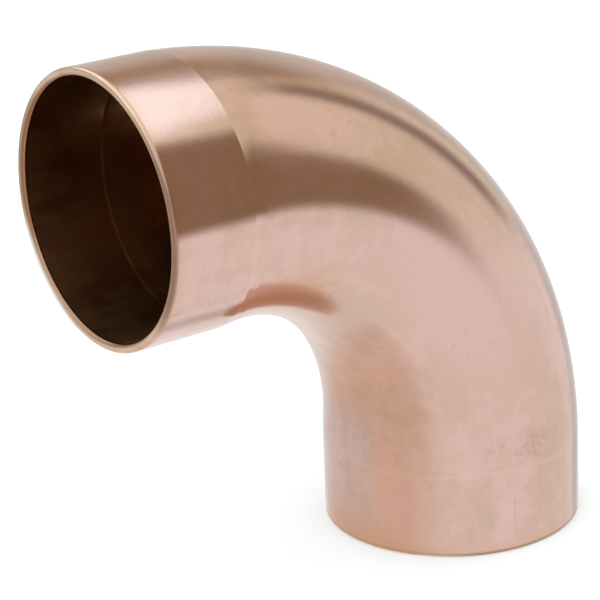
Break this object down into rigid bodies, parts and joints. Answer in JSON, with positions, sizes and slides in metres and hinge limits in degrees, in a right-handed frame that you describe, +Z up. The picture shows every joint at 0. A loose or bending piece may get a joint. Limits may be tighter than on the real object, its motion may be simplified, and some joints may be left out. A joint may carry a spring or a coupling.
{
  "type": "pipe elbow",
  "caption": "Copper quarter-bend pipe elbow with a smooth long-turn bend and a solder socket at each end, each with a tube stop behind it.",
  "frame": {"origin": "centre of the lower socket's mouth", "axes": "+Z runs up the lower socket's axis into the fitting, the side socket's mouth opens towards -X, and Y is square to the plane of the bend"},
  "size_m": [0.0914, 0.0444, 0.0914],
  "materials": {
    "copper": "satin drawn copper, unlacquered"
  },
  "bodies": {
    "root": {"lower_socket": "copper", "lower_shoulder": "copper", "bend": "copper", "side_shoulder": "copper", "side_socket": "copper"}
  },
  "joints": []
}
